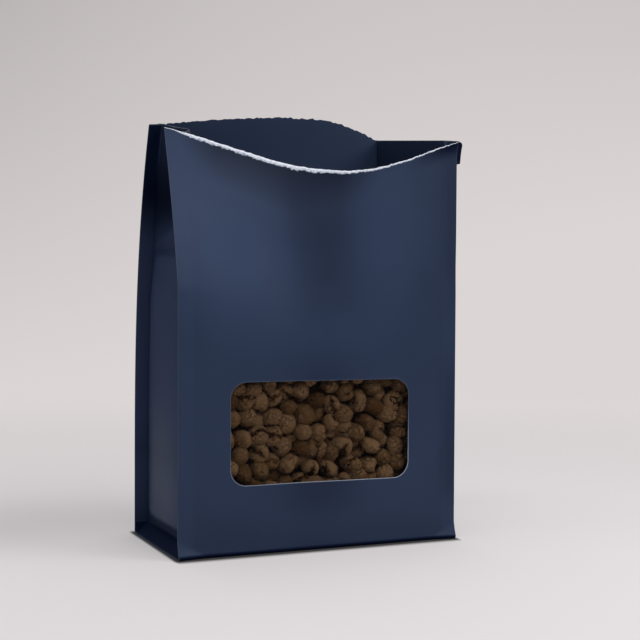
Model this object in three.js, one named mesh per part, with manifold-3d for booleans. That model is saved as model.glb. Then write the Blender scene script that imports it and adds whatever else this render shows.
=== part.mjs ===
// Flat bottom pet food bag, torn open along the top and filled with dry food.
// Millimetres; X runs left to right seen from the front, Y to the back, Z up, origin under the middle.
import * as THREE from 'three';
import { mergeVertices } from 'three/addons/utils/BufferGeometryUtils.js';
import Module from 'manifold-3d';

// Bag body
const bagWidth = 240;
const bagDepth = 125;
const filmThickness = 0.4;
const clearance = 0.3;
const finWidth = 12.5;
const footRadius = 3;
const panelBulge = 3;
const shoulderHeight = 240;

// Torn rim: the four corners, and where each tear is farthest from the line between its corners
const frontLeftHeight = 334;
const frontRightHeight = 330;
const backLeftHeight = 342;
const backRightHeight = 343;
const frontTearDrop = 28.3;
const frontTearAt = 17;
const backTearRise = 16.5;
const backTearAt = 40;
const tearPower = 1.2;

// How far the corners of the mouth stand in from the upright walls
const frontLeftSetback = 37.5;
const frontRightSetback = -2.5;
const backLeftSetback = 44;
const frontLeanStart = 205;
const frontLeanPower = 1.25;
const frontLeanFade = 1.5;
const backLeanStart = 60;
const backLeanPower = 2.7;

// Side gussets
const gussetBulge = 7;
const bulgePower = 3;
const skirtHeight = 10;
const bulgeRise = 13;
const bulgeFade = 45;
const creaseRise = 30;
const creaseStep = 2;
const creaseTuck = 5;
const leftPinch = 28;
const pinchSpan = 88;
const rightFlangeRise = 1.2;
const earHeight = 18.5;
const earWidth = 4.2;

// Window in the front panel
const windowWidth = 152.8;
const windowHeight = 80.4;
const windowBottom = 54.6;
const windowShift = -1.4;
const windowCorner = 13;
const windowMargin = 8;
const windowFilm = 0.25;

// Dry food
const fillHeight = 214;
const kibbleSize = 14;
const kibblePitch = 15.5;
const kibbleSpread = 0.12;
const kibbleStandoff = 3;
const kibbleJitter = 1;
const topHeap = 2;
const topInset = 10;

// Mesh steps
const columns = 16;
const rows = 16;
const footSteps = 3;
const bottomSteps = 6;
const gussetSteps = 8;
const paneColumns = 8;
const paneRows = 5;
const foodColumns = 8;
const foodRows = 8;
const earStep = 0.3;

const halfWidth = bagWidth / 2;
const halfDepth = bagDepth / 2;
const weldAt = halfWidth - finWidth;
const layer = filmThickness + clearance;

const manifold = await Module();
manifold.setup();
const { Manifold, Mesh: SolidMesh } = manifold;
const { clamp, lerp, smoothstep } = THREE.MathUtils;

// Height of a torn edge: the line between its corners plus a hump of the given size at peak.
function tearHeight(x, left, right, peak, hump) {
  const reach = x < peak ? peak + halfWidth : halfWidth - peak;
  const swell = Math.cos((Math.PI / 2) * clamp(Math.abs(x - peak) / reach, 0, 1));
  return lerp(left, right, (x + halfWidth) / bagWidth) + hump * swell ** tearPower;
}

function frontRim(x) {
  return tearHeight(x, frontLeftHeight, frontRightHeight, frontTearAt, -frontTearDrop);
}

function backRim(x) {
  return tearHeight(x, backLeftHeight, backRightHeight, backTearAt, backTearRise);
}

// A wall leans in above a start height and reaches its full setback at the rim.
function lean(z, start, rim, power) {
  return Math.max(0, (z - start) / (rim - start)) ** power;
}

// The filled walls belly out between the fins.
function belly(x, z) {
  const across = Math.max(0, 1 - (x / weldAt) ** 2);
  return panelBulge * across * Math.sin(Math.PI * clamp(z / shoulderHeight, 0, 1));
}

function frontWall(x, z) {
  const leftShare = Math.max(0, 0.5 - x / bagWidth);
  const left = frontLeftSetback * lean(z, frontLeanStart, frontLeftHeight, frontLeanPower);
  const right = frontRightSetback * lean(z, 0, frontRightHeight, 1);
  return -halfDepth - belly(x, z) + left * leftShare ** frontLeanFade + right * (1 - leftShare);
}

function backWall(x, z) {
  const leftShare = 0.5 - x / bagWidth;
  const left = backLeftSetback * lean(z, backLeanStart, backLeftHeight, backLeanPower);
  return halfDepth + belly(x, z) - left * leftShare;
}

// Distance along Y that keeps the given distance square to a leaning wall.
function alongY(wall, x, z, distance) {
  return distance * Math.hypot(1, wall(x, z + 1) - wall(x, z));
}

// Closed outline of a film whose middle follows the points.
function filmOutline(points, thickness) {
  const normals = points.slice(1).map((point, i) => {
    const along = point.clone().sub(points[i]).normalize();
    return new THREE.Vector2(-along.y, along.x);
  });
  const offsets = points.map((_, i) => {
    const before = normals[Math.max(i - 1, 0)];
    const after = normals[Math.min(i, normals.length - 1)];
    return before.clone().add(after).multiplyScalar(thickness / 2 / (1 + before.dot(after)));
  });
  const near = points.map((point, i) => point.clone().add(offsets[i]));
  const far = points.map((point, i) => point.clone().sub(offsets[i]));
  return [...far, ...near.reverse()];
}

// Closed solid through rings of equal length. Half of each ring runs out and half runs back beside it,
// so both ends close with a strip between the halves.
function loft(rings) {
  const count = rings[0].length;
  const last = (rings.length - 1) * count;
  const index = [];
  const quad = (a, b, c, d) => index.push(a, b, c, a, c, d);
  // Both faces of a film split their cells along the same diagonal, so the wall between stays even.
  for (let start = 0; start < last; start += count) {
    for (let i = 0; i < count; i++) {
      const next = (i + 1) % count;
      const cell = [start + i, start + next, start + count + next, start + count + i];
      if (i < count / 2) quad(...cell.slice(1), cell[0]);
      else quad(...cell);
    }
  }
  for (let i = 0; i < count / 2 - 1; i++) {
    const back = count - 1 - i;
    quad(i, back, back - 1, i + 1);
    quad(last + i, last + i + 1, last + back - 1, last + back);
  }
  const geometry = new THREE.BufferGeometry();
  geometry.setAttribute('position', new THREE.Float32BufferAttribute(
    rings.flat().flatMap((point) => point.toArray()), 3));
  geometry.setIndex(index);
  return geometry;
}

function solidOf(geometry) {
  const bare = new THREE.BufferGeometry();
  bare.setAttribute('position', geometry.getAttribute('position'));
  bare.setIndex(geometry.index);
  const merged = mergeVertices(bare, 1e-4);
  return new Manifold(new SolidMesh({
    numProp: 3,
    vertProperties: merged.attributes.position.array,
    triVerts: new Uint32Array(merged.index.array),
  }));
}

function geometryOf(solid) {
  const { vertProperties, triVerts } = solid.getMesh();
  const geometry = new THREE.BufferGeometry();
  geometry.setAttribute('position', new THREE.BufferAttribute(vertProperties, 3));
  geometry.setIndex(new THREE.BufferAttribute(triVerts, 1));
  return geometry;
}

const webMaterial = new THREE.MeshStandardMaterial({ color: 0x2c3854, roughness: 0.55 });
const filmMaterial = new THREE.MeshStandardMaterial({
  color: 0xdfe3e6, roughness: 0.2, transparent: true, opacity: 0.3,
});
const foodMaterial = new THREE.MeshStandardMaterial({ color: 0x6b4a30, roughness: 0.9 });

const bag = new THREE.Group();
bag.name = 'pet_food_bag';

function addPiece(name, geometry, material) {
  geometry.computeVertexNormals();
  const piece = new THREE.Mesh(geometry, material);
  piece.name = name;
  bag.add(piece);
}

// Front, bottom and back in one web: its section in Y and Z at one place across the width.
function webPath(x) {
  const path = [];
  for (let i = rows; i > 0; i--) {
    const z = (frontRim(x) * i) / rows;
    path.push(new THREE.Vector2(frontWall(x, z), z));
  }
  const floor = filmThickness / 2;
  const foot = footRadius - floor;
  for (let i = 0; i <= footSteps; i++) {
    const turn = (Math.PI / 2) * (i / footSteps);
    path.push(new THREE.Vector2(
      -halfDepth + footRadius - footRadius * Math.cos(turn),
      footRadius - foot * Math.sin(turn),
    ));
  }
  const flat = halfDepth - footRadius;
  for (let i = 1; i < bottomSteps; i++) {
    path.push(new THREE.Vector2(lerp(-flat, flat, i / bottomSteps), floor));
  }
  for (let i = footSteps; i >= 0; i--) {
    const turn = (Math.PI / 2) * (i / footSteps);
    path.push(new THREE.Vector2(
      halfDepth - footRadius + footRadius * Math.cos(turn),
      footRadius - foot * Math.sin(turn),
    ));
  }
  for (let i = 1; i <= rows; i++) {
    const z = (backRim(x) * i) / rows;
    path.push(new THREE.Vector2(backWall(x, z), z));
  }
  return path;
}

function mainWeb() {
  const rings = [];
  for (let i = 0; i <= columns; i++) {
    const x = lerp(-halfWidth, halfWidth, i / columns);
    const outline = filmOutline(webPath(x), filmThickness);
    rings.push(outline.map((point) => new THREE.Vector3(x, point.x, point.y)));
  }
  return loft(rings);
}

// The window's rounded outline, pushed through the front panel.
function windowCutter() {
  const half = windowWidth / 2;
  const top = windowBottom + windowHeight;
  const shape = new THREE.Shape();
  shape.moveTo(half - windowCorner, windowBottom);
  shape.absarc(half - windowCorner, windowBottom + windowCorner, windowCorner, -Math.PI / 2, 0);
  shape.absarc(half - windowCorner, top - windowCorner, windowCorner, 0, Math.PI / 2);
  shape.absarc(windowCorner - half, top - windowCorner, windowCorner, Math.PI / 2, Math.PI);
  shape.absarc(windowCorner - half, windowBottom + windowCorner, windowCorner, Math.PI, Math.PI * 1.5);
  const cutter = new THREE.ExtrudeGeometry(shape, {
    depth: halfDepth, bevelEnabled: false, curveSegments: 6,
  });
  cutter.rotateX(Math.PI / 2);
  cutter.translate(windowShift, -halfDepth / 2, 0);
  return cutter;
}

const web = solidOf(mainWeb()).subtract(solidOf(windowCutter()));
addPiece('main_panel', geometryOf(web), webMaterial);

// The height where the left side starts to fold in: level at the back, higher towards the front.
function creaseHeight(along) {
  return shoulderHeight + lerp(creaseRise, creaseStep, along);
}

// How far a gusset stands out from the plane of its weld lines; along runs from front weld to back weld.
function gussetStand(side, along, z) {
  const across = Math.abs(2 * along - 1);
  const rise = smoothstep(z, skirtHeight, skirtHeight + bulgeRise);
  const fade = 1 - smoothstep(z, shoulderHeight - bulgeFade, shoulderHeight);
  const bulge = gussetBulge * rise * fade * (1 - across ** bulgePower);
  if (side > 0) return bulge;
  const over = clamp((z - creaseHeight(along)) / pinchSpan, 0, 1);
  const tuck = creaseTuck * clamp((z - shoulderHeight) / creaseRise, 0, 1);
  return bulge - (tuck + leftPinch * Math.sin(Math.PI * over)) * (1 - across);
}

// Top of a side web at the front: along the tear on the left, level and a little above it on the right.
function sideRim(side, x) {
  return side > 0 ? frontRightHeight + rightFlangeRise : frontRim(x);
}

// Places up one side web: its share of the rim height at the front and at the back, how far its weld
// lines spread towards the corner, its distance from the rounded foot, and how far an ear stands out.
function gussetStations(side) {
  const rim = sideRim(side, side * weldAt);
  const earStart = 1 - earHeight / rim;
  const earFoot = earStart + earStep / rim;
  const station = (front, back, spread = 0, foot = 0) => {
    const ear = side > 0 && front > earStart ? earWidth : 0;
    return { front, back, spread, foot, ear };
  };
  const level = (z) => [z / rim, z / backRim(side * weldAt)];
  const stations = [
    station(...level(layer + filmThickness / 2), 1, footRadius),
    station(...level(skirtHeight)),
  ];
  for (let i = 1; i <= rows; i++) {
    const near = (i / rows) * rim - shoulderHeight;
    if (side > 0 || near < -creaseStep || near > creaseRise) stations.push(station(i / rows, i / rows));
  }
  if (side < 0) {
    const [creaseFront] = level(creaseHeight(0));
    const [, creaseBack] = level(creaseHeight(1));
    stations.push(station(...level(shoulderHeight)), station(creaseFront, creaseBack));
  } else {
    stations.push(station(earStart, earStart), station(earFoot, earFoot));
  }
  return stations.sort((a, b) => a.front - b.front);
}

// One side web: a flange inside each fin, a bellied or pinched middle, and a skirt to the bottom rim.
function gussetWeb(side) {
  const corner = side * halfWidth;
  const rings = gussetStations(side).map(({ front, back, spread, foot, ear }) => {
    const weld = side * lerp(weldAt, halfWidth - clearance, spread);
    const path = [];
    const heights = [];
    const addPoint = (x, y, z) => {
      path.push(new THREE.Vector2(x, y));
      heights.push(z);
    };
    const onFront = (x) => {
      const z = front * sideRim(side, x);
      return [frontWall(x, z) + alongY(frontWall, x, z, layer) + foot, z];
    };
    const onBack = (x) => {
      const z = back * backRim(x);
      return [backWall(x, z) - alongY(backWall, x, z, layer) - foot, z];
    };
    const [frontY, frontZ] = onFront(weld);
    const [backY, backZ] = onBack(weld);
    addPoint(corner + side * ear, ...onFront(corner));
    for (let i = 0; i <= gussetSteps; i++) {
      const along = i / gussetSteps;
      const z = lerp(frontZ, backZ, along);
      addPoint(weld + side * gussetStand(side, along, z), lerp(frontY, backY, along), z);
    }
    addPoint(corner, ...onBack(corner));
    return filmOutline(path, filmThickness).map((point, i) => {
      const z = heights[Math.min(i, 2 * path.length - 1 - i)];
      return new THREE.Vector3(point.x, point.y, z);
    });
  });
  return loft(rings);
}

addPiece('left_gusset', gussetWeb(-1), webMaterial);
addPiece('right_gusset', gussetWeb(1), webMaterial);

// Clear film behind the window, following the front wall.
function windowPane() {
  const pane = new THREE.BoxGeometry(
    windowWidth + 2 * windowMargin, windowFilm, windowHeight + 2 * windowMargin,
    paneColumns, 1, paneRows);
  const middle = windowBottom + windowHeight / 2;
  const stack = filmThickness / 2 + clearance + windowFilm / 2;
  const spot = pane.getAttribute('position');
  for (let i = 0; i < spot.count; i++) {
    const x = spot.getX(i) + windowShift;
    const z = spot.getZ(i) + middle;
    spot.setXYZ(i, x, frontWall(x, z) + stack + spot.getY(i), z);
  }
  return pane;
}

addPiece('window_film', geometryOf(solidOf(windowPane())), filmMaterial);

// Repeatable scatter for the pieces of food.
let scatterState = 7;
function scatter(range) {
  scatterState = (scatterState * 16807) % 2147483647;
  return range * ((2 * scatterState) / 2147483647 - 1);
}

// Body of the food: it follows the walls a little way in, up to the fill height.
function foodCore() {
  const depthBehind = filmThickness + 2 * clearance + windowFilm + kibbleSize / 2;
  const side = weldAt - kibbleStandoff;
  const rings = [];
  for (let r = 0; r <= foodRows; r++) {
    const z = lerp(layer, fillHeight, r / foodRows);
    const outline = [];
    for (let i = 0; i <= foodColumns; i++) {
      const x = lerp(-side, side, i / foodColumns);
      outline.push(new THREE.Vector2(x, frontWall(x, z) + depthBehind));
    }
    for (let i = foodColumns; i >= 0; i--) {
      const x = lerp(-side, side, i / foodColumns);
      outline.push(new THREE.Vector2(x, backWall(x, z) - kibbleStandoff));
    }
    rings.push(outline.map((point) => new THREE.Vector3(point.x, point.y, z)));
  }
  return solidOf(loft(rings));
}

// One piece of food of varied shape, turned at random.
function foodPiece(piece, x, y, z) {
  piece.scale(1 + scatter(kibbleSpread), 1 + scatter(kibbleSpread), 1 + scatter(kibbleSpread));
  piece.rotateX(scatter(Math.PI));
  piece.rotateZ(scatter(Math.PI));
  piece.translate(x, y, z);
  return solidOf(piece);
}

// Rows of pieces in a staggered pattern over a rectangle.
function staggered(width, height, place) {
  const across = Math.ceil(width / kibblePitch);
  const up = Math.ceil(height / kibblePitch);
  const pieces = [];
  for (let row = 0; row <= up; row++) {
    for (let column = 0; column < across; column++) {
      const shift = row % 2 ? 0.75 : 0.25;
      const u = (column + shift) / across - 0.5;
      const v = row / up - 0.5;
      pieces.push(place(u * width + scatter(kibbleJitter), v * height + scatter(kibbleJitter)));
    }
  }
  return pieces;
}

function food() {
  const biggest = (kibbleSize / 2) * (1 + kibbleSpread);
  const middle = windowBottom + windowHeight / 2;
  const behind = filmThickness / 2 + 2 * clearance + windowFilm + biggest;
  const atWindow = staggered(windowWidth, windowHeight, (across, up) => {
    const x = windowShift + across;
    const z = middle + up;
    return foodPiece(new THREE.OctahedronGeometry(kibbleSize / 2, 1), x, frontWall(x, z) + behind, z);
  });
  const wide = 2 * (weldAt - kibbleStandoff - biggest);
  const deep = bagDepth - 2 * (kibbleStandoff + biggest + topInset);
  const onTop = staggered(wide, deep, (x, y) => foodPiece(
    new THREE.IcosahedronGeometry(kibbleSize / 2), x, y, fillHeight + scatter(topHeap)));
  return Manifold.union([foodCore(), ...atWindow, ...onTop]);
}

addPiece('kibble', geometryOf(food()), foodMaterial);

export default bag;
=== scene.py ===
import bpy
import math
import numpy as np
from mathutils import Matrix, Vector, noise


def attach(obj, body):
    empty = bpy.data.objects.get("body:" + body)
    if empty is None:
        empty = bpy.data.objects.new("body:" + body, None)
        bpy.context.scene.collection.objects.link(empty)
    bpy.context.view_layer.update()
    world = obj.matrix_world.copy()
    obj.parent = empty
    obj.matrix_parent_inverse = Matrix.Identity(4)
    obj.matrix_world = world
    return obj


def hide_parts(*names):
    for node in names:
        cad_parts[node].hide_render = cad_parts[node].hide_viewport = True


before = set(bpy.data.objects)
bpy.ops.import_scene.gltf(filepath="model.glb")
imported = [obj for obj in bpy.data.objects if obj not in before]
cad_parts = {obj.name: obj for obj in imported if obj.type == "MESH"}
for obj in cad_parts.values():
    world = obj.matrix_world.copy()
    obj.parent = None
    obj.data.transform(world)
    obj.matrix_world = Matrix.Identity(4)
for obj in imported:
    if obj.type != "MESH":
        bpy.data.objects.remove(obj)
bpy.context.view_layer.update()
scene = bpy.context.scene
scene.view_settings.view_transform = "Standard"
mm = 0.001


# camera at the photographed angle
view = {
    "place": (-395.27, -968.53, 197.80),
    "right": (0.91750, -0.39772, 0.00294),
    "up": (0.00321, 0.01480, 0.99989),
    "ahead": (0.39771, 0.91739, -0.01485),
    "lens": 69.8, "sensor": 36,
}
cameraData = bpy.data.cameras.new("camera")
cameraData.lens = view["lens"]
cameraData.sensor_width = view["sensor"]
camera = bpy.data.objects.new("camera", cameraData)
scene.collection.objects.link(camera)
axes = Matrix((view["right"], view["up"], [-a for a in view["ahead"]])).transposed().to_4x4()
camera.matrix_world = Matrix.Translation(Vector(view["place"]) * mm) @ axes
scene.camera = camera
print("camera set")


# node helpers: an output that takes part in sums, and one way to make any node
class Val:
    def __init__(self, net, socket):
        self.net, self.socket = net, socket

    def math(self, kind, a, b=0.0, c=0.0):
        return self.net.make("ShaderNodeMath", {"operation": kind}, {0: a, 1: b, 2: c})

    def __add__(self, other):
        return self.math("ADD", self, other)

    __radd__ = __add__

    def __sub__(self, other):
        return self.math("SUBTRACT", self, other)

    def __rsub__(self, other):
        return self.math("SUBTRACT", other, self)

    def __mul__(self, other):
        return self.math("MULTIPLY", self, other)

    __rmul__ = __mul__

    def __truediv__(self, other):
        return self.math("DIVIDE", self, other)

    def __pow__(self, other):
        return self.math("POWER", self, other)

    def __abs__(self):
        return self.math("ABSOLUTE", self)

    def high(self, other):
        return self.math("MAXIMUM", self, other)

    def low(self, other):
        return self.math("MINIMUM", self, other)

    def unit(self):  # held between 0 and 1
        return self.high(0.0).low(1.0)

    def rise(self, start, gain):  # 0 up to the start, then up to 1
        return ((self - start) * gain).unit()

    def ramp(self, start, end):  # 0 at the start, 1 at the end
        return ((self - start) / (end - start)).unit()

    def bell(self):  # 1 at nothing, falling softly on both sides
        return self.math("EXPONENT", self * self * -1.0)

    def pick(self, name):  # another output of the same node
        return Val(self.net, self.socket.node.outputs[name])


class Net:
    def __init__(self, tree):
        self.tree = tree

    def make(self, kind, settings=None, values=None, out=0):
        node = self.tree.nodes.new(kind)
        for key, value in (settings or {}).items():
            setattr(node, key, value)
        for key, value in (values or {}).items():
            if isinstance(value, Val):
                self.tree.links.new(value.socket, node.inputs[key])
            else:
                node.inputs[key].default_value = value
        return Val(self, node.outputs[out])

    def mix(self, share, a, b):  # colours
        return self.make("ShaderNodeMix", {"data_type": "RGBA"}, {0: share, 6: a, 7: b}, 2)

    def noise(self, place, scale, detail=2.0, rough=0.5):
        return self.make("ShaderNodeTexNoise", None, {
            "Vector": place, "Scale": scale, "Detail": detail, "Roughness": rough})

    def layer(self, name, out="Fac"):  # a mesh's own attribute
        return self.make("ShaderNodeAttribute", {"attribute_name": name}, None, out)

    def objectPlace(self):
        return self.make("ShaderNodeTexCoord", None, None, "Object")

    def split(self, vector):
        return self.make("ShaderNodeSeparateXYZ", None, {0: vector})


def newFinish(name):
    material = bpy.data.materials.new(name)
    material.use_nodes = True
    material.node_tree.nodes.clear()
    return material, Net(material.node_tree)


def output(net, shader):
    node = net.tree.nodes.new("ShaderNodeOutputMaterial")
    net.tree.links.new(shader.socket, node.inputs["Surface"])


# the bag's form, in millimetres
bag = {
    "width": 240.0, "depth": 125.0, "film": 0.4, "seal": 0.3, "fin": 12.5, "foot": 3.0,
    "belly": 3.0, "shoulder": 240.0, "sharpAbove": 32.0,
    "frontLeft": 334.0, "frontRight": 330.0, "backLeft": 342.0, "backRight": 343.0,
    "frontDrop": 28.3, "frontDropAt": 17.0, "backRise": 16.5, "backRiseAt": 40.0, "swell": 1.2,
    "frontLeftIn": 37.5, "frontRightIn": -2.5, "backLeftIn": 44.0,
    # where each lean starts and its power; the soft one is away from the left edge
    "frontLean": (205.0, 1.25), "frontLeanSoft": (135.0, 2.1), "softFrom": -72.0,
    "frontLeanFade": 1.5, "backLean": (60.0, 2.7),
}
# small unevenness of the walls: place, reach and depth of each
relief = {
    "drift": 0.5, "driftSeed": 1.3, "driftEdge": 40.0, "driftFoot": (5.0, 60.0),
    "backDrift": 1.3, "backDriftSeed": 4.1, "backStretch": (1.3, 0.8),
    "groove": (-20.0, 32.0, 5.0), "ridge": (66.0, 24.0, 2.6),
    "level": (150.0, 240.0), "low": 0.45, "foot": (0.0, 40.0),
    "dent": (111.0, 9.0, 226.0, 16.0, 1.0),
    "footSpread": (10.0, 1.7), "footCorner": (27.0, 15.0, 3.6),
    "curl": (80.0, 116.0, 13.0, 2.4), "curlPast": 1.1,
}
half = bag["width"] / 2
deep = bag["depth"] / 2
foot = bag["foot"]
weldAt = half - bag["fin"]
layer = bag["film"] + bag["seal"]


def smooth(value, start, end):
    t = np.clip((value - start) / (end - start), 0, 1)
    return t * t * (3 - 2 * t)


def hill(value, middle, reach):
    return np.exp(-((value - middle) / reach) ** 2)


def tearLine(x, left, right, peak, hump):
    reach = np.where(x < peak, peak + half, half - peak)
    swell = np.cos(np.pi / 2 * np.clip(np.abs(x - peak) / reach, 0, 1)) ** bag["swell"]
    return left + (right - left) * (x + half) / bag["width"] + hump * swell


def frontRim(x):
    return tearLine(x, bag["frontLeft"], bag["frontRight"], bag["frontDropAt"], -bag["frontDrop"])


def backRim(x):
    return tearLine(x, bag["backLeft"], bag["backRight"], bag["backRiseAt"], bag["backRise"])


def lean(z, start, rim, power):
    return np.maximum(0, (z - start) / (rim - start)) ** power


def belly(x, z):
    across = np.maximum(0, 1 - (x / weldAt) ** 2)
    return bag["belly"] * across * np.sin(np.pi * np.clip(z / bag["shoulder"], 0, 1))


def drift(a, b, seed):  # slow unevenness, about -1 to 1
    return (np.sin(a * 0.031 + b * 0.013 + seed) + np.sin(a * 0.052 - b * 0.027 + 2.1 * seed)
            + np.sin(a * 0.017 + b * 0.061 + 0.7 * seed)) / 3


def driftShare(x, z):  # none at the fins and the foot
    return smooth(half - np.abs(x), 0, relief["driftEdge"]), smooth(z, *relief["driftFoot"])


def frontWall(x, z):
    leftShare = 0.5 - x / bag["width"]
    start, power = bag["frontLean"]
    edge = lean(z, start, bag["frontLeft"], power)
    start, power = bag["frontLeanSoft"]
    middle = lean(z, start, bag["frontLeft"], power)
    left = bag["frontLeftIn"] * (edge + (middle - edge) * smooth(x, -half, bag["softFrom"]))
    right = bag["frontRightIn"] * lean(z, 0, bag["frontRight"], 1)
    wall = -deep - belly(x, z) + left * leftShare ** bag["frontLeanFade"] + right * (1 - leftShare)
    inner, above = driftShare(x, z)
    wall = wall + relief["drift"] * drift(x, z, relief["driftSeed"]) * inner * above
    upper = relief["low"] + (1 - relief["low"]) * smooth(z, *relief["level"])
    upper = upper * smooth(z, *relief["foot"])
    for key, side in (("groove", 1), ("ridge", -1)):
        at, reach, depth = relief[key]
        wall = wall + side * depth * hill(x, at, reach) * upper
    atX, wide, atZ, tall, depth = relief["dent"]
    wall = wall + depth * hill(x, atX, wide) * hill(z, atZ, tall)
    tall, depth = relief["footSpread"]
    wall = wall - depth * np.maximum(0, 1 - z / tall) ** 2
    wide, tall, depth = relief["footCorner"]
    wall = wall - depth * np.maximum(0, 1 - (half - np.abs(x)) / wide - z / tall)
    start, end, tall, depth = relief["curl"]  # torn corner rolls outwards
    roll = np.clip((z - frontRim(x) + tall) / tall, 0, relief["curlPast"]) ** 2
    return wall - depth * roll * smooth(x, start, end)


def backWall(x, z):
    leftShare = 0.5 - x / bag["width"]
    start, power = bag["backLean"]
    left = bag["backLeftIn"] * lean(z, start, bag["backLeft"], power)
    wall = deep + belly(x, z) - left * leftShare
    inner, above = driftShare(x, z)
    across, up = relief["backStretch"]
    return wall + relief["backDrift"] * drift(x * across, z * up, relief["backDriftSeed"]) * inner * above


def alongY(wall, x, z, distance):
    return distance * np.hypot(1, wall(x, z + 1) - wall(x, z))


# closed film of even thickness over a grid of points; a mask leaves cells out
def filmSolid(name, grid, thickness, keep=None, layers=None):
    rowCount, columnCount = grid.shape[:2]
    normal = np.cross(np.gradient(grid, axis=0), np.gradient(grid, axis=1))
    normal /= np.linalg.norm(normal, axis=2, keepdims=True) + 1e-12
    outer = (grid + normal * thickness / 2).reshape(-1, 3)
    inner = (grid - normal * thickness / 2).reshape(-1, 3)
    count = len(outer)
    index = np.arange(count).reshape(rowCount, columnCount)
    quads = np.stack([index[:-1, :-1], index[1:, :-1], index[1:, 1:], index[:-1, 1:]], -1)
    quads = quads[keep] if keep is not None else quads.reshape(-1, 4)
    edges = np.concatenate([quads[:, [i, (i + 1) % 4]] for i in range(4)])
    code = edges[:, 0] * count + edges[:, 1]
    back = edges[:, 1] * count + edges[:, 0]
    rim = edges[~np.isin(code, back)]  # edges with a cell on one side only
    walls = np.stack([rim[:, 1], rim[:, 0], rim[:, 0] + count, rim[:, 1] + count], -1)
    faces = np.concatenate([quads, quads[:, ::-1] + count, walls])
    used = np.zeros(2 * count, bool)
    used[faces.ravel()] = True
    renumber = np.cumsum(used) - 1
    mesh = bpy.data.meshes.new(name)
    points = np.concatenate([outer, inner])[used] * mm
    mesh.from_pydata(points.tolist(), [], renumber[faces].tolist())
    for key, values in (layers or {}).items():
        both = [np.asarray(v, float).reshape(-1) for v in values]
        data = mesh.attributes.new(key, "FLOAT", "POINT").data
        data.foreach_set("value", np.concatenate(both)[used].astype(np.float32))
    mesh.polygons.foreach_set("use_smooth", [True] * len(mesh.polygons))
    mesh.set_sharp_from_angle(angle=math.radians(bag["sharpAbove"]))
    piece = bpy.data.objects.new(name, mesh)
    scene.collection.objects.link(piece)
    return piece


# window cut in the front panel
window = {
    "width": 152.8, "height": 80.4, "bottom": 54.6, "shift": -1.4, "corner": 13.0,
    "margin": 8.0, "film": 0.25, "columns": 61, "rows": 37,
}
windowMiddle = window["bottom"] + window["height"] / 2


def windowGap(x, z):  # distance from the window's outline, negative inside
    a = np.abs(x - window["shift"]) - (window["width"] / 2 - window["corner"])
    b = np.abs(z - windowMiddle) - (window["height"] / 2 - window["corner"])
    outside = np.hypot(np.maximum(a, 0), np.maximum(b, 0))
    return outside + np.minimum(np.maximum(a, b), 0) - window["corner"]


# front, bottom and back as one folded web
web = {
    "columns": 132, "frontRows": 130, "footRows": 6, "bottomRows": 26, "backRows": 84,
    "frontFrom": foot / 330 + 0.004, "backFrom": foot / 340 + 0.006,  # share of the height where the rows start
    "ragged": 0.5, "backRagged": 1.0, "raggedPower": 60, "seeds": (2.5, 7.5),
    "whiteBand": ((-120, 0.3), (-112, 0.7), (-98, 3.2), (-20, 3.6), (25, 2.4),
                  (60, 1.6), (92, 1.2), (108, 0.8), (120, 0.3)),
    "backBand": 0.7, "backBare": 0.15, "backAfter": 20, "innerTorn": 0.75, "noRim": 99.0,
    # painted shade under the torn right corner and under the foot fold
    "paintedShade": (1.0, 84.0, 116.0, 13.0), "paintedShadeGain": 1.35, "footPaintedShade": 0.95, "footPaintedShadeAt": (2.7, 1.6),
}


def ragged(x, seed):
    return np.array([noise.noise((v * 0.33, seed, 0)) + 0.7 * noise.noise((v * 0.85, seed, 3)) for v in x])


x = np.linspace(-half, half, web["columns"] + 1)
frontSeed, backSeed = web["seeds"]
frontEdge = ragged(x, frontSeed) * web["ragged"]
backEdge = ragged(x, backSeed) * web["backRagged"]
rows, rimShare = [], []
underside = bag["film"] / 2


def addRow(y, z):
    rows.append(np.stack([x, y, z], -1))


def addFold(wall, turns, inwards):  # quarter round between a wall and the bottom
    for turn in turns:
        z = np.full_like(x, foot - (foot - underside) * np.sin(turn))
        addRow(wall(x, foot) + inwards * foot * (1 - np.cos(turn)), z)


def addWall(wall, rim, edge, shares):
    for share in shares:
        z = share * rim(x) + edge * share ** web["raggedPower"]
        addRow(wall(x, np.minimum(z, rim(x))), z)
        rimShare.append((1 - share) * rim(x))


addWall(frontWall, frontRim, frontEdge, np.linspace(1, web["frontFrom"], web["frontRows"]))
addFold(frontWall, np.linspace(0, np.pi / 2, web["footRows"]), 1)
startY = rows[-1][:, 1]
endY = backWall(x, foot) - foot
for share in np.linspace(0, 1, web["bottomRows"] + 2)[1:-1]:
    addRow(startY + (endY - startY) * share, np.full_like(x, underside))
addFold(backWall, np.linspace(np.pi / 2, 0, web["footRows"]), -1)
while len(rimShare) < len(rows):
    rimShare.append(np.full_like(x, web["noRim"]))
addWall(backWall, backRim, backEdge, np.linspace(web["backFrom"], 1, web["backRows"]))
grid = np.array(rows)
rimGap = np.array(rimShare)
band = np.interp(x, *zip(*web["whiteBand"]))
isBack = (np.arange(len(grid)) > web["frontRows"] + web["backAfter"])[:, None] & np.ones(len(x), bool)[None]
torn = rimGap / np.where(isBack, web["backBand"], band[None, :])
bare = np.where(isBack, web["backBare"], 1.0)
strength, start, end, tall = web["paintedShade"]  # painted shade under the torn right corner, which rolls outwards
nearTearShade = np.clip(web["paintedShadeGain"] - web["paintedShadeGain"] * rimGap / tall, 0, 1)
paintedShade = np.where(isBack, 0, strength * smooth(x, start, end)[None, :] * nearTearShade)
level, fade = web["footPaintedShadeAt"]  # painted shade under the fold, where the base meets the floor
paintedShade = np.maximum(paintedShade, web["footPaintedShade"] * np.clip(level - grid[..., 2] / fade, 0, 1))

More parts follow.
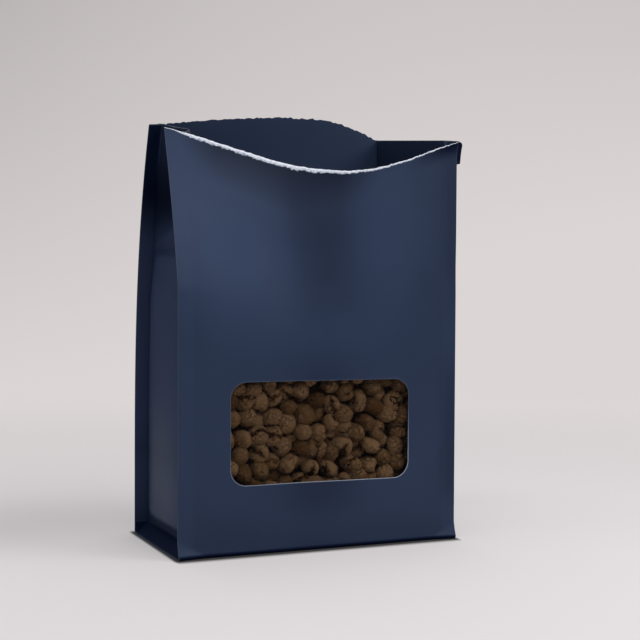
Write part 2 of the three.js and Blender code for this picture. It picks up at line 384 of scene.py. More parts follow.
# cells inside the window go, and the points around them move onto its outline
centre = (grid[:-1, :-1] + grid[1:, :-1] + grid[1:, 1:] + grid[:-1, 1:]) / 4
inFront = (np.arange(len(grid) - 1) < web["frontRows"] - 1)[:, None]
keep = ~((windowGap(centre[..., 0], centre[..., 2]) < 0) & inFront)
touchKept, touchCut = np.zeros(grid.shape[:2], bool), np.zeros(grid.shape[:2], bool)
for r, c in ((0, 0), (1, 0), (1, 1), (0, 1)):
    touchKept[r:len(grid) - 1 + r, c:len(x) - 1 + c] |= keep
    touchCut[r:len(grid) - 1 + r, c:len(x) - 1 + c] |= ~keep
for r, c in zip(*np.nonzero(touchKept & touchCut)):
    px, pz = grid[r, c, 0], grid[r, c, 2]
    for _ in range(3):
        gap = windowGap(px, pz)
        slopeX = (windowGap(px + 0.01, pz) - windowGap(px - 0.01, pz)) / 0.02
        slopeZ = (windowGap(px, pz + 0.01) - windowGap(px, pz - 0.01)) / 0.02
        px, pz = px - gap * slopeX, pz - gap * slopeZ
    grid[r, c] = (px, frontWall(px, pz), pz)
mainPanel = filmSolid("mainPanel", grid, bag["film"], keep, {
    "torn": (torn, torn + web["innerTorn"]), "bare": (bare, bare), "paintedShade": (paintedShade, paintedShade)})
print("main panel", len(mainPanel.data.polygons), "faces")


# side webs: a flange inside each fin, a bellied or pinched middle, a skirt down to the bottom rim
gusset = {
    "rows": 150, "skirtRows": 8, "topRows": 26, "topTall": 24.0, "flange": 5, "middle": 44,
    "bulge": 7.0, "bulgeRise": 13.0, "bulgeFade": 45.0, "skirt": 10.0,
    "drift": 0.5, "driftAcross": 120.0, "driftSeed": 2.2,
    "creaseRise": 30.0, "creaseEnd": 2.0, "creaseStep": 5.0, "creaseCut": 1.6, "creaseWide": 2.6,
    "pinch": 28.0, "pinchSpan": 88.0, "rightRim": 331.2,
    "tornBand": 0.8, "leftBare": 0.10, "rightBare": 0.08,
    # painted shade in the V fold, on the back fin, on the skirt and where the side turns down to it
    "foldPaintedShade": 0.95, "finPaintedShade": 0.95, "finPaintedShadeOver": 50.0, "skirtPaintedShade": 0.9, "turnPaintedShade": 0.15, "skirtShare": 0.05,
}
# hooked end of the right flange
ear = {
    "tall": 18.5, "wide": 4.9, "foot": 3.6, "round": 4.0,
    # painted shade on the hooked ear and on what stands above it
    "paintedShadeFrom": (-0.5, 0.3), "abovePaintedShade": 0.85, "aboveFrom": (-2, 1),
}


def gussetStand(side, along, z):
    across = np.abs(2 * along - 1)
    rise = smooth(z, gusset["skirt"], gusset["skirt"] + gusset["bulgeRise"])
    fade = 1 - smooth(z, bag["shoulder"] - gusset["bulgeFade"], bag["shoulder"])
    bulge = gusset["bulge"] * rise * fade * (1 - across ** 3)
    uneven = drift(along * gusset["driftAcross"], z, gusset["driftSeed"] + side)
    bulge = bulge + gusset["drift"] * uneven * (1 - across ** 2) * rise
    if side > 0:
        return bulge
    tuck = gusset["creaseStep"] * np.clip((z - bag["shoulder"]) / gusset["creaseRise"], 0, 1)
    cut = gusset["creaseCut"] * hill(z, bag["shoulder"], gusset["creaseWide"]) * (1 - across ** 6)
    return bulge - cut - (tuck + gusset["pinch"] * pinchShare(along, z)) * (1 - across)


def pinchShare(along, z):  # the V above the slanting crease, 0 to 1
    crease = bag["shoulder"] + gusset["creaseRise"] + (gusset["creaseEnd"] - gusset["creaseRise"]) * along
    return np.sin(np.pi * np.clip((z - crease) / gusset["pinchSpan"], 0, 1))


def earReach(below):  # rounded at the top, square at the foot
    if below > ear["tall"]:
        return 0.0
    wide = ear["wide"] + (ear["foot"] - ear["wide"]) * below / ear["tall"]
    return wide * math.sqrt(1 - max(0, 1 - below / ear["round"]) ** 2)


def gussetGrid(side):
    corner = side * half
    rim = gusset["rightRim"] if side > 0 else bag["frontLeft"]
    bottom = layer + bag["film"] / 2
    skirt = gusset["skirt"]
    levels = np.concatenate([np.linspace(bottom, skirt, gusset["skirtRows"])[:-1],
                             np.linspace(skirt, rim - gusset["topTall"], gusset["rows"])[:-1],
                             np.linspace(rim - gusset["topTall"], rim, gusset["topRows"])]) / rim
    grid, torn, paintedShade = [], [], []
    for share in levels:
        spread = np.clip((skirt - share * rim) / (skirt - bottom), 0, 1)
        weld = side * (weldAt + (bag["fin"] - bag["seal"]) * spread)
        clear = foot * spread
        outer = corner + earReach((1 - share) * rim) if side > 0 else corner

        def onFront(at):  # the right flange has a level top of its own
            z = share * (frontRim(at) if side < 0 else np.full_like(at, rim))
            return frontWall(at, z) + alongY(frontWall, at, z, layer) + clear, z

        def onBack(at):
            z = share * backRim(at)
            return backWall(at, z) - alongY(backWall, at, z, layer) - clear, z

        flange = np.linspace(outer, weld, gusset["flange"] + 1)[:-1]
        fy, fz = onFront(np.clip(flange, -half, half))
        along = np.linspace(0, 1, gusset["middle"] + 1)
        (y0, z0), (y1, z1) = onFront(np.array(weld)), onBack(np.array(weld))
        mz = z0 + (z1 - z0) * along
        mx = weld + side * gussetStand(side, along, mz)
        my = y0 + (y1 - y0) * along
        backFlange = np.linspace(weld, corner, gusset["flange"] + 1)[1:]
        by, bz = onBack(backFlange)
        line = [np.concatenate(v) for v in ((flange, mx, backFlange), (fy, my, by), (fz, mz, bz))]
        grid.append(np.stack(line, -1))
        torn.append(np.full(len(grid[-1]), (1 - share) * rim / gusset["tornBand"]))
        # painted shade in the fold, on the hooked ear, the back fin and the skirt
        fold, behind = 0 * mz, 0 * bz
        start, end = ear["paintedShadeFrom"]
        hook = smooth(side * flange, half + start, half + end)
        if side > 0:  # painted shade on what stands above the tear
            above = smooth(fz - frontRim(np.minimum(flange, half)), *ear["aboveFrom"])
            hook = np.maximum(hook, ear["abovePaintedShade"] * above)
        else:
            fold = pinchShare(along, mz) * gusset["foldPaintedShade"]
            behind = smooth(bz, bag["shoulder"], bag["shoulder"] + gusset["finPaintedShadeOver"]) * gusset["finPaintedShade"]
        under = 1 - smooth(share * rim, skirt, skirt + gusset["bulgeRise"])
        low = gusset["skirtPaintedShade"] if spread > gusset["skirtShare"] else gusset["turnPaintedShade"] * under
        paintedShade.append(np.maximum(np.concatenate([hook, fold, behind]), low))
    return np.array(grid), np.array(torn), np.array(paintedShade)


gussets = {}
for side, name, paleness in ((-1, "leftGusset", gusset["leftBare"]), (1, "rightGusset", gusset["rightBare"])):
    sheet, torn, paintedShade = gussetGrid(side)
    if side < 0:  # outside faces away from the food
        sheet, torn, paintedShade = sheet[:, ::-1], torn[:, ::-1], paintedShade[:, ::-1]
    bare = np.full_like(torn, paleness)
    gussets[name] = filmSolid(name, sheet, bag["film"], None, {
        "torn": (torn, torn), "bare": (bare, bare), "paintedShade": (paintedShade, paintedShade)})
    print(name, len(gussets[name].data.polygons), "faces")


# clear film behind the window
px = window["shift"] + np.linspace(-1, 1, window["columns"]) * (window["width"] / 2 + window["margin"])
pz = windowMiddle + np.linspace(-1, 1, window["rows"]) * (window["height"] / 2 + window["margin"])
gx, gz = np.meshgrid(px, pz[::-1])
gy = frontWall(gx, gz) + bag["film"] / 2 + bag["seal"] + window["film"] / 2
pane = filmSolid("windowFilm", np.stack([gx, gy, gz], -1), window["film"])
print("window film", len(pane.data.polygons), "faces")


# dry food: pieces over a few stepped sheets behind the window and on top, round a plain core
food = {
    "size": 19.4, "spacing": 11.6, "fill": 214.0, "uneven": 3.4, "unevenScale": 120.0, "seed": 11,
    "cleft": 0.08, "cleftSharp": 9.0, "smallest": (0.74, 0.76, 0.70), "largest": (1.08, 1.02, 0.95),
    "most": 60000.0, "step": 6.5, "windowDetail": 5, "topDetail": 4,
    # sheets: from, to and points each way
    "depth": 0.66, "windowX": (-86, 86, 15), "windowZ": (45, 144, 9),
    "topX": (-98, 98, 15), "topY": (-48, 47, 9), "topLift": 1.0, "topDrift": 2.0, "topSeed": 5.0,
    "standoff": 3.0, "coreGap": 2.0, "coreDrop": 8.0, "coreColumns": 17, "coreRows": 13,
}


def sheetsOf(name, grids):
    points, faces = [], []
    for px, py, pz in grids:
        start = len(points)
        points.extend(np.stack([px, py, pz], -1).reshape(-1, 3) * mm)
        r, c = px.shape
        for i in range(r - 1):
            for j in range(c - 1):
                first, above = start + i * c + j, start + (i + 1) * c + j
                faces.append((first, first + 1, above + 1, above))
    mesh = bpy.data.meshes.new(name)
    mesh.from_pydata([tuple(p) for p in points], [], faces)
    sheets = bpy.data.objects.new(name, mesh)
    scene.collection.objects.link(sheets)
    return sheets


def windowSheets():
    first = bag["film"] / 2 + 2 * bag["seal"] + window["film"] + food["size"] * food["depth"]
    sx, sz = np.meshgrid(np.linspace(*food["windowX"]), np.linspace(*food["windowZ"]))
    return sheetsOf("windowSheets", [(sx, frontWall(sx, sz) + first + step, sz) for step in (0, food["step"])])


def topSheets():
    sx, sy = np.meshgrid(np.linspace(*food["topX"]), np.linspace(*food["topY"]))
    top = food["fill"] + food["topLift"] + food["topDrift"] * drift(sx, sy, food["topSeed"])
    return sheetsOf("topSheets", [(sx, sy, top - step) for step in (0, food["step"])])


def foodTree(material):
    tree = bpy.data.node_groups.new("foodPieces", "GeometryNodeTree")
    net = Net(tree)
    sockets = {}
    tree.interface.new_socket(name="Geometry", in_out="INPUT", socket_type="NodeSocketGeometry")
    for name, kind in (("size", "Float"), ("spacing", "Float"), ("uneven", "Float"),
                       ("detail", "Int"), ("seed", "Int")):
        socket = tree.interface.new_socket(name=name, in_out="INPUT", socket_type="NodeSocket" + kind)
        sockets[name] = socket.identifier
    tree.interface.new_socket(name="Geometry", in_out="OUTPUT", socket_type="NodeSocketGeometry")
    entry = net.make("NodeGroupInput", None, None, "Geometry")
    size, seed, detail = entry.pick("size"), entry.pick("seed"), entry.pick("detail")
    # one lump: a ball with a cleft, keeping its own directions for the finish
    cube = net.make("GeometryNodeMeshCube", None, {
        "Size": (1, 1, 1), "Vertices X": detail, "Vertices Y": detail, "Vertices Z": detail})
    ball = net.make("ShaderNodeVectorMath", {"operation": "NORMALIZE"}, {
        0: net.make("GeometryNodeInputPosition")})
    lump = net.make("GeometryNodeStoreNamedAttribute", {"data_type": "FLOAT_VECTOR", "domain": "POINT"}, {
        "Geometry": cube, "Name": "spot", "Value": ball})
    across = net.split(ball)
    cleft = across.math("EXPONENT", across * across * -food["cleftSharp"]) * across.pick("Z").high(0.0)
    form = net.make("ShaderNodeVectorMath", {"operation": "SCALE"}, {
        0: ball, "Scale": size * (0.5 - food["cleft"] * cleft)})
    lump = net.make("GeometryNodeSetPosition", None, {"Geometry": lump, "Position": form})
    points = net.make("GeometryNodeDistributePointsOnFaces", {"distribute_method": "POISSON"}, {
        "Mesh": entry, "Distance Min": entry.pick("spacing"), "Density Max": food["most"], "Seed": seed}, "Points")
    turn = net.make("FunctionNodeRandomValue", {"data_type": "FLOAT_VECTOR"}, {
        "Min": (0, 0, 0), "Max": (6.283, 6.283, 6.283), "Seed": seed + 1})
    swell = net.make("FunctionNodeRandomValue", {"data_type": "FLOAT_VECTOR"}, {
        "Min": food["smallest"], "Max": food["largest"], "Seed": seed + 2})
    pieces = net.make("GeometryNodeInstanceOnPoints", None, {
        "Points": points, "Instance": lump, "Rotation": turn, "Scale": swell})
    tone = net.make("FunctionNodeRandomValue", {"data_type": "FLOAT"}, {"Seed": seed + 3}, 1)
    pieces = net.make("GeometryNodeStoreNamedAttribute", {"data_type": "FLOAT", "domain": "INSTANCE"}, {
        "Geometry": pieces, "Name": "tone", "Value": tone})
    pieces = net.make("GeometryNodeRealizeInstances", None, {"Geometry": pieces})
    rough = net.make("ShaderNodeTexNoise", None, {"Scale": food["unevenScale"], "Detail": 1.5})
    shape = net.make("ShaderNodeVectorMath", {"operation": "SCALE"}, {
        0: net.make("GeometryNodeInputNormal"), "Scale": (rough - 0.55) * entry.pick("uneven")})
    pieces = net.make("GeometryNodeSetPosition", None, {"Geometry": pieces, "Offset": shape})
    pieces = net.make("GeometryNodeSetShadeSmooth", None, {"Geometry": pieces})
    pieces = net.make("GeometryNodeSetMaterial", None, {"Geometry": pieces, "Material": material})
    end = tree.nodes.new("NodeGroupOutput")
    tree.links.new(pieces.socket, end.inputs["Geometry"])
    return tree, sockets


def foodCore():
    side = weldAt - food["standoff"]
    behind = bag["film"] + 2 * bag["seal"] + window["film"] + food["size"] + food["coreGap"]
    cx = np.linspace(-side, side, food["coreColumns"])
    points, faces = [], []
    levels = np.linspace(layer, food["fill"] - food["coreDrop"], food["coreRows"])
    for z in levels:
        points += [(a, float(frontWall(np.array(a), z)) + behind, z) for a in cx]
        points += [(a, float(backWall(np.array(a), z)) - food["standoff"], z) for a in cx[::-1]]
    n = 2 * len(cx)
    for r in range(len(levels) - 1):
        for i in range(n):
            j = (i + 1) % n
            faces.append((r * n + i, r * n + j, (r + 1) * n + j, (r + 1) * n + i))
    top = (len(levels) - 1) * n
    for i in range(len(cx) - 1):
        faces.append((i, n - 1 - i, n - 2 - i, i + 1))
        faces.append((top + i, top + i + 1, top + n - 2 - i, top + n - 1 - i))
    return np.array(points) * mm, faces


# dry food finish: dull baked brown, split along a crack, pitted and uneven in tone, with painted shade in the
# splits, cracks, pits and hollows
crust = {
    "dark": (0.062, 0.031, 0.0105, 1), "light": (0.146, 0.083, 0.040, 1),
    "dusty": (0.162, 0.096, 0.051, 1), "dustyShare": 0.7,
    "warm": (0.130, 0.056, 0.017, 1), "warmShare": 0.65,
    "baked": (0.040, 0.016, 0.0045, 1), "bakedShare": 0.8,
    # colours of painted shade in the hollows, splits, cracks and pits
    "hollowShade": (0.020, 0.0065, 0.001, 1), "crackShade": (0.014, 0.004, 0.0008, 1),
    "crackShare": 0.8, "pitShare": 0.6,
    "grainScale": 520.0, "wanderScale": 260.0, "patchScale": 130.0, "pitScale": 420.0, "cellScale": 230.0,
    "rough": 0.75, "grainRough": 0.2, "gloss": 0.04, "bump": 0.0026,
}
foodFinish, net = newFinish("driedFood")
place = net.objectPlace()
tone = net.layer("tone")
spot = net.split(net.layer("spot", "Vector"))
spotUp = spot.pick("Z")
grain = net.noise(place, crust["grainScale"], 4.0, 0.6)
wander = net.noise(place, crust["wanderScale"], 3.0, 0.6)
patch = net.noise(place, crust["patchScale"], 3.0, 0.6)
pits = net.make("ShaderNodeTexVoronoi", None, {"Vector": place, "Scale": crust["pitScale"]})
cells = net.make("ShaderNodeTexVoronoi", {"feature": "DISTANCE_TO_EDGE"}, {
    "Vector": place, "Scale": crust["cellScale"]})
split = (1 - abs(spot + (wander - 0.5) * 1.6) * 5.5).unit() * (spotUp * 5.0).unit()
split = split * tone.rise(0.15, 6.0)
crackShade = (1 - cells * 15.0).unit() * patch.rise(0.47, 7.0)
split = split.high(crackShade * crust["crackShare"])
pit = (1 - pits * 3.2).unit() * patch.rise(0.42, 6.0)
brown = net.mix(tone, crust["dark"], crust["light"])
brown = net.mix(patch.rise(0.45, 5.0) * crust["dustyShare"], brown, crust["dusty"])
brown = net.mix(wander.rise(0.54, 7.0) * crust["warmShare"], brown, crust["warm"])
brown = net.mix((1 - tone * 7.0).unit() * crust["bakedShare"], brown, crust["baked"])  # a few pieces only
# painted shade in a hollow on top of some pieces
hollowShade = (1 - abs(spot + (patch - 0.5) * 2.2) * 2.6).unit() * (spotUp * 3.0 - 0.6).unit()
hollowShade = hollowShade * tone.rise(0.35, 6.0)
brown = net.mix(hollowShade, brown, crust["hollowShade"])
# painted shade in the splits, cracks and pits
brown = net.mix(split.high(pit * crust["pitShare"]), brown, crust["crackShade"])
height = grain * 0.5 + wander * 0.8 - split * 0.9 - pit * 0.6 - hollowShade * 0.9
bump = net.make("ShaderNodeBump", None, {"Strength": 1.0, "Distance": crust["bump"], "Height": height})
output(net, net.make("ShaderNodeBsdfPrincipled", None, {
    "Base Color": brown, "Roughness": crust["rough"] + grain * crust["grainRough"],
    "Specular IOR Level": crust["gloss"], "Normal": bump}))


def readLayer(mesh, key, field, width):
    values = np.zeros(len(mesh.vertices) * width, np.float32)
    source = mesh.vertices if key == "place" else mesh.attributes[key].data
    source.foreach_get(field, values)
    return values.reshape(-1, width)


tree, sockets = foodTree(foodFinish)
places, spots, tones, foodFaces, count = [], [], [], [], 0
for sheets, detail in ((windowSheets(), food["windowDetail"]), (topSheets(), food["topDetail"])):
    maker = sheets.modifiers.new("foodPieces", "NODES")
    maker.node_group = tree
    for key in ("size", "spacing", "uneven"):
        maker[sockets[key]] = food[key] * mm
    maker[sockets["detail"]] = detail
    maker[sockets["seed"]] = food["seed"]
    made = bpy.data.meshes.new_from_object(sheets.evaluated_get(bpy.context.evaluated_depsgraph_get()))
    sheets.modifiers.clear()
    places.append(readLayer(made, "place", "co", 3))
    spots.append(readLayer(made, "spot", "vector", 3))
    tones.append(readLayer(made, "tone", "value", 1))
    foodFaces += [tuple(i + count for i in face.vertices) for face in made.polygons]
    count += len(made.vertices)
    bpy.data.objects.remove(sheets)
corePoints, coreFaces = foodCore()
roundFaces = len(foodFaces)
foodFaces += [tuple(i + count for i in face) for face in coreFaces]
foodMesh = bpy.data.meshes.new("foodPieces")
foodMesh.from_pydata(np.concatenate(places + [corePoints]).tolist(), [], foodFaces)
spots = np.concatenate(spots + [np.zeros((len(corePoints), 3))]).astype(np.float32)
tones = np.concatenate(tones + [np.zeros((len(corePoints), 1))]).astype(np.float32)
foodMesh.attributes.new("spot", "FLOAT_VECTOR", "POINT").data.foreach_set("vector", spots.ravel())
foodMesh.attributes.new("tone", "FLOAT", "POINT").data.foreach_set("value", tones.ravel())
foodMesh.polygons.foreach_set("use_smooth", [True] * roundFaces + [False] * len(coreFaces))
kibble = bpy.data.objects.new("foodPieces", foodMesh)
scene.collection.objects.link(kibble)
foodMesh.materials.append(foodFinish)
print("kibble", len(foodMesh.polygons), "faces")


# laminate finish: matt dark blue, white core where it is torn or cut, with painted light, sheen, highlights and
# shade; heights and places in millimetres
laminate = {
    "blue": (0.0150, 0.0246, 0.0530, 1), "pale": (0.0250, 0.0395, 0.0790, 1),
    # colours of painted shade, bluer low down
    "paintedShade": (0.0010, 0.0040, 0.0170, 1), "paintedShadeLow": (0.0008, 0.0045, 0.0260, 1), "paintedShadeLowAt": (40.0, 20.0),
    "gloss": 0.11, "rough": 0.40, "mottleRough": 0.12, "whiteRough": 0.4, "paintedShadeRough": 0.5,
    "mottleScale": 9.0, "fibreScale": 900.0, "ragScale": 330.0, "mottle": 0.9,
    # tones of the front, sides, back and fins, and painted light on the lower front corners
    "frontTone": 0.55, "sideTone": 0.45, "backTone": 0.5, "finTone": 0.2, "cornerPaintedLight": 0.8,
    # painted bands of light and shade down the front: place, reach and strength; calm: heights that show less of
    # them
    "paintedBands": ((-1.0, 26.0, -0.95), (54.0, 18.0, 0.25), (-85.0, 45.0, 0.25), (116.0, 10.0, -0.85)),
    "calm": ((172.0, 50.0, 0.9), (18.0, 22.0, 0.9)),
    # painted sheen, a broad soft light on the front: place and reach across, place and reach up, share
    "paintedSheen": (0.041, 0.066, 0.138, 1),
    "paintedSheenAt": ((-66.0, 42.0, 234.0, 52.0, 0.5), (52.0, 28.0, 252.0, 54.0, 0.26),
                (0.0, 60.0, 168.0, 26.0, 0.12), (-106.0, 36.0, 290.0, 58.0, 0.36)),
    # painted shade just under the tear: reach and share, from and to on the left and in the middle, and at the
    # right
    "rimShade": (11.0, 0.85), "rimLeft": (-112.0, -82.0), "rimMiddle": (52.0, 18.0),
    "rimRight": (74.0, 90.0), "rimRightShare": 0.5,
    # painted light on the left side: fin, the face below the crease and the cushion of the foot
    "paintedLight": (0.038, 0.055, 0.110, 1), "paintedLightAt": (258.0, 20.0, 0.75), "paintedLightFrom": (-42.0, -17.0),
    "cushionPaintedLight": (46.0, 38.0, 1.0), "finPaintedLight": 1.0, "finFrom": (30.0, 100.0),
}
tear = {
    "core": (0.88, 0.90, 0.95, 1), "fray": (0.42, 0.46, 0.55, 1), "cut": (0.36, 0.39, 0.45, 1),
    "white": (1.05, 1.7, 3.5), "frayed": (0.9, 2.4, 0.15, 1.6), "ply": (0.52, 0.3, 9.0, 0.8),
    # cut edges show the white core, with a painted highlight along the fins and round the window
    "cutEdgeAndHighlight": (0.1, 2.5, 0.10), "footHighlight": (4.0, 1.0), "footHighlightShare": 0.3,
    "windowCutAndHighlight": (0.6, 3.5), "lineShare": (0.12, 0.75), "paintedHighlightLowRight": (0.005, 0.022, 0.05),
}
laminateFinish, net = newFinish("laminate")
place = net.objectPlace()
parts = net.split(place)
atX, atY, atZ = parts * 1000.0, parts.pick("Y") * 1000.0, parts.pick("Z") * 1000.0
offMiddle = abs(atX)
torn, bare, paintedShade = net.layer("torn"), net.layer("bare"), net.layer("paintedShade")
mottle = net.noise(place, laminate["mottleScale"], 3.0, 0.5)
fibre = net.noise(place, laminate["fibreScale"], 3.0, 0.6)
rags = net.noise(place, laminate["ragScale"], 3.0, 0.65)
fin = offMiddle.rise(weldAt, 1.5)
front = bare.rise(0.5, 4.0)  # the web is bare in front, a little at the back and hardly at the sides
onBack = bare.rise(0.12, 40.0) * (1 - front)
leftHalf = atX.ramp(0.0, -20.0)
onLeft = leftHalf * (1 - front)
# painted bands of light and shade, painted sheen and painted shade under the tear
calm = 1.0
for at, tall, share in laminate["calm"]:
    calm = (1 - ((atZ - at) / tall).bell() * share) * calm
# tone of the web, with painted bands of light and shade on the front
toneAndPaintedLight = laminate["frontTone"]
for at, wide, strength in laminate["paintedBands"]:
    toneAndPaintedLight = toneAndPaintedLight + ((atX - at) / wide).bell() * calm * strength
# painted light on the lower corners of the front
wide, tall = relief["footCorner"][:2]
corner = ((1 - (half - offMiddle) / wide - atZ / tall) * 6.0).unit()
toneAndPaintedLight = (toneAndPaintedLight + corner * laminate["cornerPaintedLight"]) * front
toneAndPaintedLight = toneAndPaintedLight + laminate["sideTone"] * (1 - front) + onBack * laminate["backTone"]
toneAndPaintedLight = toneAndPaintedLight + (mottle - 0.5) * laminate["mottle"] + fin * laminate["finTone"]
skin = net.mix(toneAndPaintedLight.unit(), laminate["blue"], laminate["pale"])
# painted sheen on the front
paintedSheen = 0.0
for middleX, wide, middleZ, tall, share in laminate["paintedSheenAt"]:
    paintedSheen = ((atX - middleX) / wide).bell() * ((atZ - middleZ) / tall).bell() * share + paintedSheen
skin = net.mix(paintedSheen.unit() * front, skin, laminate["paintedSheen"])
# painted shade under the tear
below, share = laminate["rimShade"]
acrossFront = atX.ramp(*laminate["rimLeft"]) * atX.ramp(*laminate["rimMiddle"])
acrossFront = acrossFront.high(atX.ramp(*laminate["rimRight"]) * laminate["rimRightShare"])
skin = net.mix((1 - torn / below).unit() * acrossFront * front * share, skin, laminate["paintedShade"])
# painted light on the left side, then painted shade
at, tall, share = laminate["paintedLightAt"]
face = ((atZ - at) / tall).bell() * share * atY.ramp(*laminate["paintedLightFrom"])
at, tall, share = laminate["cushionPaintedLight"]
cushionPaintedLight = ((atZ - at) / tall).bell() * share
paintedLight = (fin * atZ.ramp(*laminate["finFrom"]) * laminate["finPaintedLight"]).high(face).high(cushionPaintedLight)
skin = net.mix(paintedLight * onLeft, skin, laminate["paintedLight"])
# painted shade where the meshes carry it
darkest = net.mix(atZ.ramp(*laminate["paintedShadeLowAt"]), laminate["paintedShade"], laminate["paintedShadeLow"])
skin = net.mix(paintedShade, skin, darkest)
deepFold = atZ.ramp(bag["shoulder"], bag["shoulder"] + 20.0) * leftHalf  # the other parts of painted shade are dull
# torn and cut edges
reach, uneven, sharp = tear["white"]
white = ((reach - torn + (rags - 0.5) * uneven) * sharp).unit() * bare
reach, uneven, start, sharp = tear["frayed"]
fray = ((torn * reach + (fibre - 0.5) * uneven - start) * sharp).unit()
at, uneven, sharp, share = tear["ply"]  # edge of the layer beneath
fray = fray.high((1 - abs(torn - at + (rags - 0.5) * uneven) * sharp).unit() * share)
# the fins' cut edges show the white core, with a painted highlight along them, stronger at the foot
inset, sharp, share = tear["cutEdgeAndHighlight"]
cutAndHighlightShare = share + atZ.ramp(*tear["footHighlight"]) * tear["footHighlightShare"]
cutEdgeAndHighlight = (1 - abs(offMiddle - half + inset) * sharp).unit() * cutAndHighlightShare
a = abs(atX - window["shift"]) - (window["width"] / 2 - window["corner"])
b = abs(atZ - windowMiddle) - (window["height"] / 2 - window["corner"])
gap = (a.high(0.0) ** 2.0 + b.high(0.0) ** 2.0) ** 0.5 + a.high(b).low(0.0) - window["corner"]
across, down, start = tear["paintedHighlightLowRight"]  # painted highlight on the window's cut, low and at the right
paintedHighlightLowRight = (atX * across + (windowMiddle - atZ) * down + start).unit()
# white core round the window, with the painted highlight
reach, sharp = tear["windowCutAndHighlight"]
least, more = tear["lineShare"]
windowCutAndHighlight = ((reach - gap) * sharp).unit() * front * (least + paintedHighlightLowRight * more)
# white core and painted highlights on the cut edges
skin = net.mix(cutEdgeAndHighlight.high(windowCutAndHighlight), skin, tear["cut"])
skin = net.mix(white, skin, net.mix(fray, tear["core"], tear["fray"]))
height = fibre * 0.10 + mottle * 0.5 + white * rags * 0.8 + fin * 0.12
bump = net.make("ShaderNodeBump", None, {"Strength": 0.3, "Distance": 0.0006, "Height": height})
roughness = laminate["rough"] + mottle * laminate["mottleRough"] + white * laminate["whiteRough"]
output(net, net.make("ShaderNodeBsdfPrincipled", None, {
    "Base Color": skin, "Roughness": roughness + paintedShade * (1 - deepFold) * laminate["paintedShadeRough"],
    "Specular IOR Level": laminate["gloss"], "Normal": bump}))
for piece in (mainPanel, *gussets.values()):
    piece.data.materials.append(laminateFinish)


# clear film finish: almost clear, with a little haze and soft gloss
clear = {
    "colour": (0.07, 0.07, 0.075, 1), "rough": 0.25, "alpha": 0.004, "hazeAlpha": 0.014,
    "hazeScale": 26.0, "rippleScale": 60.0, "ripple": 0.15, "rippleTall": 0.0008,
}
filmFinish, net = newFinish("clearFilm")
place = net.objectPlace()
haze = net.noise(place, clear["hazeScale"], 3.0, 0.5)
ripple = net.noise(place, clear["rippleScale"], 2.0, 0.5)
bump = net.make("ShaderNodeBump", None, {
    "Strength": clear["ripple"], "Distance": clear["rippleTall"], "Height": ripple})
output(net, net.make("ShaderNodeBsdfPrincipled", None, {
    "Base Color": clear["colour"], "Roughness": clear["rough"],
    "Alpha": clear["alpha"] + haze * clear["hazeAlpha"], "Normal": bump}))
pane.data.materials.append(filmFinish)
print("finishes made")


# pale floor that runs out into the background, and soft studio light; places in metres
studio = {
    "floor": (0.745, 0.703, 0.698, 1), "floorGlow": 0.42, "reach": 4.0,
    "fadeFrom": 0.35, "fadeOver": 1.6, "farFrom": (0.30, 1.40), "horizon": (0.16, 0.4),
    # painted shadow where the base meets the floor: reach, share, times narrower at the sides, hardness
    "contactShadow": (0.013, 0.92, 3.0, 1.5),
    # painted soft shadow beside the bag: place, reach each way and share
    "softShade": ((-0.20, 0.14, 0.14, 0.13, 0.18), (0.20, 0.11, 0.09, 0.07, 0.06)),
    "back": (0.708, 0.670, 0.664, 1), "backDark": (0.46, 0.43, 0.43, 1), "offSide": (0.07, 0.075, 0.085, 1),
    "fill": (0.23, 0.235, 0.25, 1), "fillDark": (0.22, 0.25, 0.31, 1),
    # slopes over the directions of the world
    "dim": (0.32, 0.8, 2.0), "dimCorner": (0.4, 4.3, 0.8), "turned": (0.5, 0.6, 0.4, 0.3),
    "unlitLeft": (0.75, 2.0), "unlitTop": (4.5, 0.7), "unlitNear": (2.0, 0.3),
    "key": 11.0, "keyAt": (1.05, -1.05, 1.10), "keySize": 0.9, "aim": (0.0, 0.0, 0.18),
    "box": 4.2, "boxAt": (0.02, -1.0, 0.97), "boxSize": 0.5,
    "top": 16.0, "topAt": (-0.30, -0.15, 2.0), "topSize": 1.8,
    "rear": 0.6, "rearFrom": (0.45, 1.0, 0.9), "rearWide": 70,
}
black = (0, 0, 0, 1)
reach = studio["reach"]
corners = [(a * reach, b * reach, 0) for a, b in ((-1, -1), (1, -1), (1, 1), (-1, 1))]
floorMesh = bpy.data.meshes.new("floor")
floorMesh.from_pydata(corners, [], [(0, 1, 2, 3)])
floorPlane = bpy.data.objects.new("floor", floorMesh)
scene.collection.objects.link(floorPlane)
floorFinish, net = newFinish("paleFloor")
place = net.objectPlace()
away = net.make("ShaderNodeVectorMath", {"operation": "LENGTH"}, {0: place}, "Value")
near = (1 - (away - studio["fadeFrom"]) / studio["fadeOver"]).unit()
far = away.ramp(*studio["farFrom"])
glow = net.make("ShaderNodeLightPath", None, None, "Is Camera Ray") * (far + studio["floorGlow"] * (1 - far))
floorX = net.split(place)
floorY = floorX.pick("Y")
start, slope = studio["horizon"]
horizon = net.mix((start - floorX * slope).unit(), studio["back"], studio["backDark"])
tint = net.mix(far, studio["floor"], horizon)
# painted shadow on the floor round and beside the bag
close, share, narrow, hard = studio["contactShadow"]
gapX = (abs(floorX) - half * mm).high(0.0) * narrow
gapY = (abs(floorY) - deep * mm).high(0.0)
shade = ((1 - (gapX ** 2.0 + gapY ** 2.0) ** 0.5 / close) * hard).unit() * share
for middleX, middleY, wide, long, share in studio["softShade"]:
    shade = shade.high(((floorX - middleX) / wide).bell() * ((floorY - middleY) / long).bell() * share)
tint = net.mix(shade, tint, black)
output(net, net.make("ShaderNodeBsdfPrincipled", None, {
    "Base Color": net.mix(glow, tint, black),
    "Emission Color": net.mix(glow, black, tint), "Emission Strength": 1.0,
    "Roughness": 0.9, "Specular IOR Level": 0.1, "Alpha": near * near * (3.0 - 2.0 * near)}))
floorMesh.materials.append(floorFinish)

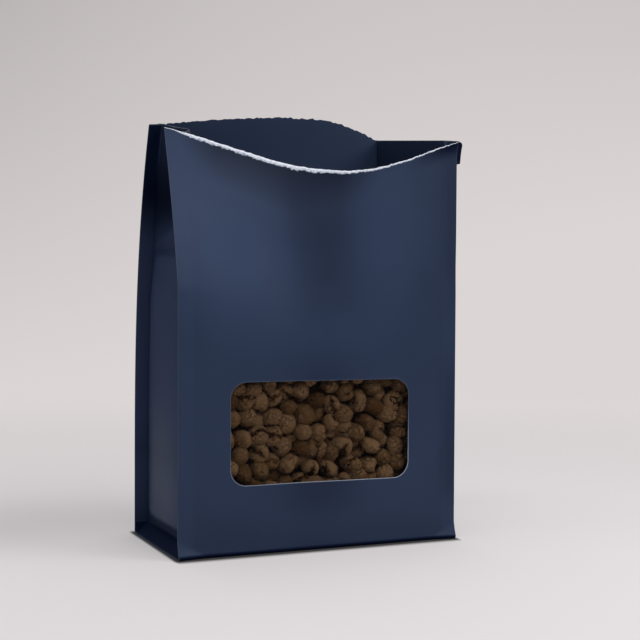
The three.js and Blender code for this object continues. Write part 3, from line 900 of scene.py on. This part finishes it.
world = bpy.data.worlds.new("studio")
world.use_nodes = True
world.node_tree.nodes.clear()
net = Net(world.node_tree)
ray = net.make("ShaderNodeLightPath", None, None, "Is Camera Ray")
glossy = ray.pick("Is Glossy Ray")
seen = ray.high(glossy).high(ray.pick("Is Transmission Ray"))
wayX = net.split(net.make("ShaderNodeTexCoord", None, None, "Generated"))
wayY, wayZ = wayX.pick("Y"), wayX.pick("Z")
middle, gain, share = studio["dimCorner"]
wide = (wayX - middle) * gain
start, left, up = studio["dim"]
dim = (start - wayX * left + wayZ * (up + wide * wide * share)).unit()
backdrop = net.mix(dim, studio["back"], studio["backDark"])
# nothing bright on the left, overhead or behind the camera for what is glossy
start, left = studio["unlitLeft"]
unlit = start - wayX * left
up, start = studio["unlitTop"]
unlit = unlit.high(wayZ * up - start)
near, start = studio["unlitNear"]
unlit = unlit.high(wayY * -near - start).unit() * glossy
start, right, back, up = studio["turned"]
turned = (start + wayX * right - wayY * back - wayZ * up).unit()
shade = net.mix(seen, net.mix(turned, studio["fillDark"], studio["fill"]),
                net.mix(unlit, backdrop, studio["offSide"]))
background = net.make("ShaderNodeBackground", None, {"Color": shade, "Strength": 1.0})
worldEnd = world.node_tree.nodes.new("ShaderNodeOutputWorld")
world.node_tree.links.new(background.socket, worldEnd.inputs["Surface"])
scene.world = world


def addLamp(name, kind, power, place, towards):
    data = bpy.data.lights.new(name, kind)
    data.energy = power
    lamp = bpy.data.objects.new(name, data)
    lamp.location = place
    lamp.rotation_euler = (Vector(place) - Vector(towards)).to_track_quat("Z", "Y").to_euler()
    scene.collection.objects.link(lamp)
    return data


for key in ("key", "box", "top"):
    addLamp(key + "Light", "AREA", studio[key], studio[key + "At"], studio["aim"]).size = studio[key + "Size"]
rearLight = addLamp("rearLight", "SUN", studio["rear"], studio["rearFrom"], (0, 0, 0))
rearLight.angle = math.radians(studio["rearWide"])
print("studio set")


for piece, node, slot in ((mainPanel, "main_panel", "laminate"),
                          (gussets["leftGusset"], "left_gusset", "laminate"),
                          (gussets["rightGusset"], "right_gusset", "laminate"),
                          (pane, "window_film", "clear_film"),
                          (kibble, "kibble", "dry_food")):
    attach(piece, "root")
    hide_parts(node)
